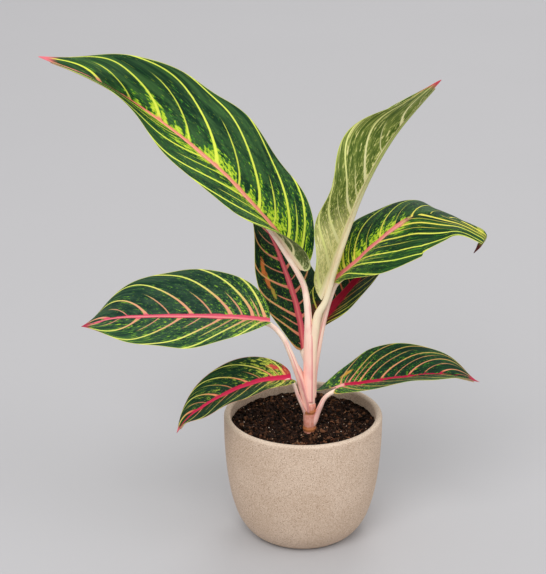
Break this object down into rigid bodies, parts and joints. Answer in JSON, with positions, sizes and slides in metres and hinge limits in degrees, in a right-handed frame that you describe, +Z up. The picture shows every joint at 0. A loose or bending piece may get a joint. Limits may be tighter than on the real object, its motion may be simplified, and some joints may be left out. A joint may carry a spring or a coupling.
{
  "type": "potted chinese evergreen",
  "caption": "Potted aglaonema house plant: broad lance-shaped variegated leaves on clasping stalks from a short cane, standing in soil in a round tapered stoneware pot.",
  "frame": {"origin": "centre of the pot's flat underside", "axes": "+Z up along the pot's axis; -Y is the side that the picture is taken from; +X to that view's right"},
  "size_m": [0.3503, 0.1316, 0.394],
  "materials": {
    "stoneware": "matte, finely speckled sandy beige",
    "potting_soil": "loose dark peat and bark crumbs with pale grains",
    "cane": "satin, pinkish brown with ring scars",
    "leaf_stalk": "satin, cream pink with darker pink streaks",
    "leaf_blade": "semi-gloss dark green with yellow-green and salmon veins",
    "young_blade": "satin grey green underside with cream veins and flecks"
  },
  "bodies": {
    "root": {"pot": "stoneware", "soil": "potting_soil", "cane": "cane", "petiole_a": "leaf_stalk", "blade_a": "leaf_blade", "petiole_b": "leaf_stalk", "blade_b": "young_blade", "petiole_c": "leaf_stalk", "blade_c": "leaf_blade", "petiole_d": "leaf_stalk", "blade_d": "leaf_blade", "petiole_e": "leaf_stalk", "blade_e": "leaf_blade", "petiole_f": "leaf_stalk", "blade_f": "leaf_blade", "petiole_g": "leaf_stalk", "blade_g": "leaf_blade", "petiole_h": "leaf_stalk", "blade_h": "leaf_blade"}
  },
  "joints": []
}
